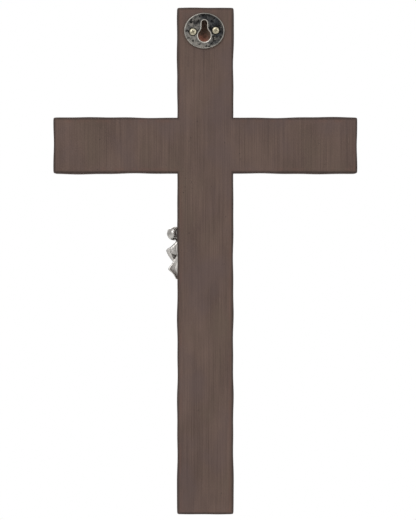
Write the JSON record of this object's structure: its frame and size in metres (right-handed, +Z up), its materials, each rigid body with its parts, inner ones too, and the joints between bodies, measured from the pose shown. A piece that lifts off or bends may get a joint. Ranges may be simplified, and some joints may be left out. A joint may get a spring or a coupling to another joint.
{
  "type": "wall crucifix",
  "caption": "Latin wall cross in dark brown with a cast silver-toned figure in front and an oval keyhole hanger plate let into the back of its upright.",
  "frame": {"origin": "on the hanger plate's outer face, on the bridge of metal just above the keyhole's slot", "axes": "+Z up along the upright, +Y out of the back towards the wall, -Y out of the front with the figure, +X to the right seen from the front"},
  "size_m": [0.1524, 0.0397, 0.254],
  "materials": {
    "dark_brown_wood_effect": "matt dark brown, finely sanded along the upright",
    "plated_steel": "mottled dull zinc plate",
    "zinc_screw": "pale yellow zinc",
    "silver_toned_metal": "antiqued silver, bright on the high places and dark in the recesses"
  },
  "bodies": {
    "root": {"cross": "dark_brown_wood_effect", "hanger_plate": "plated_steel", "hanger_screw_left": "zinc_screw", "hanger_screw_right": "zinc_screw", "corpus": "silver_toned_metal", "hand_nail_left": "silver_toned_metal", "hand_nail_right": "silver_toned_metal", "feet_nail": "silver_toned_metal", "titulus": "silver_toned_metal"}
  },
  "joints": []
}
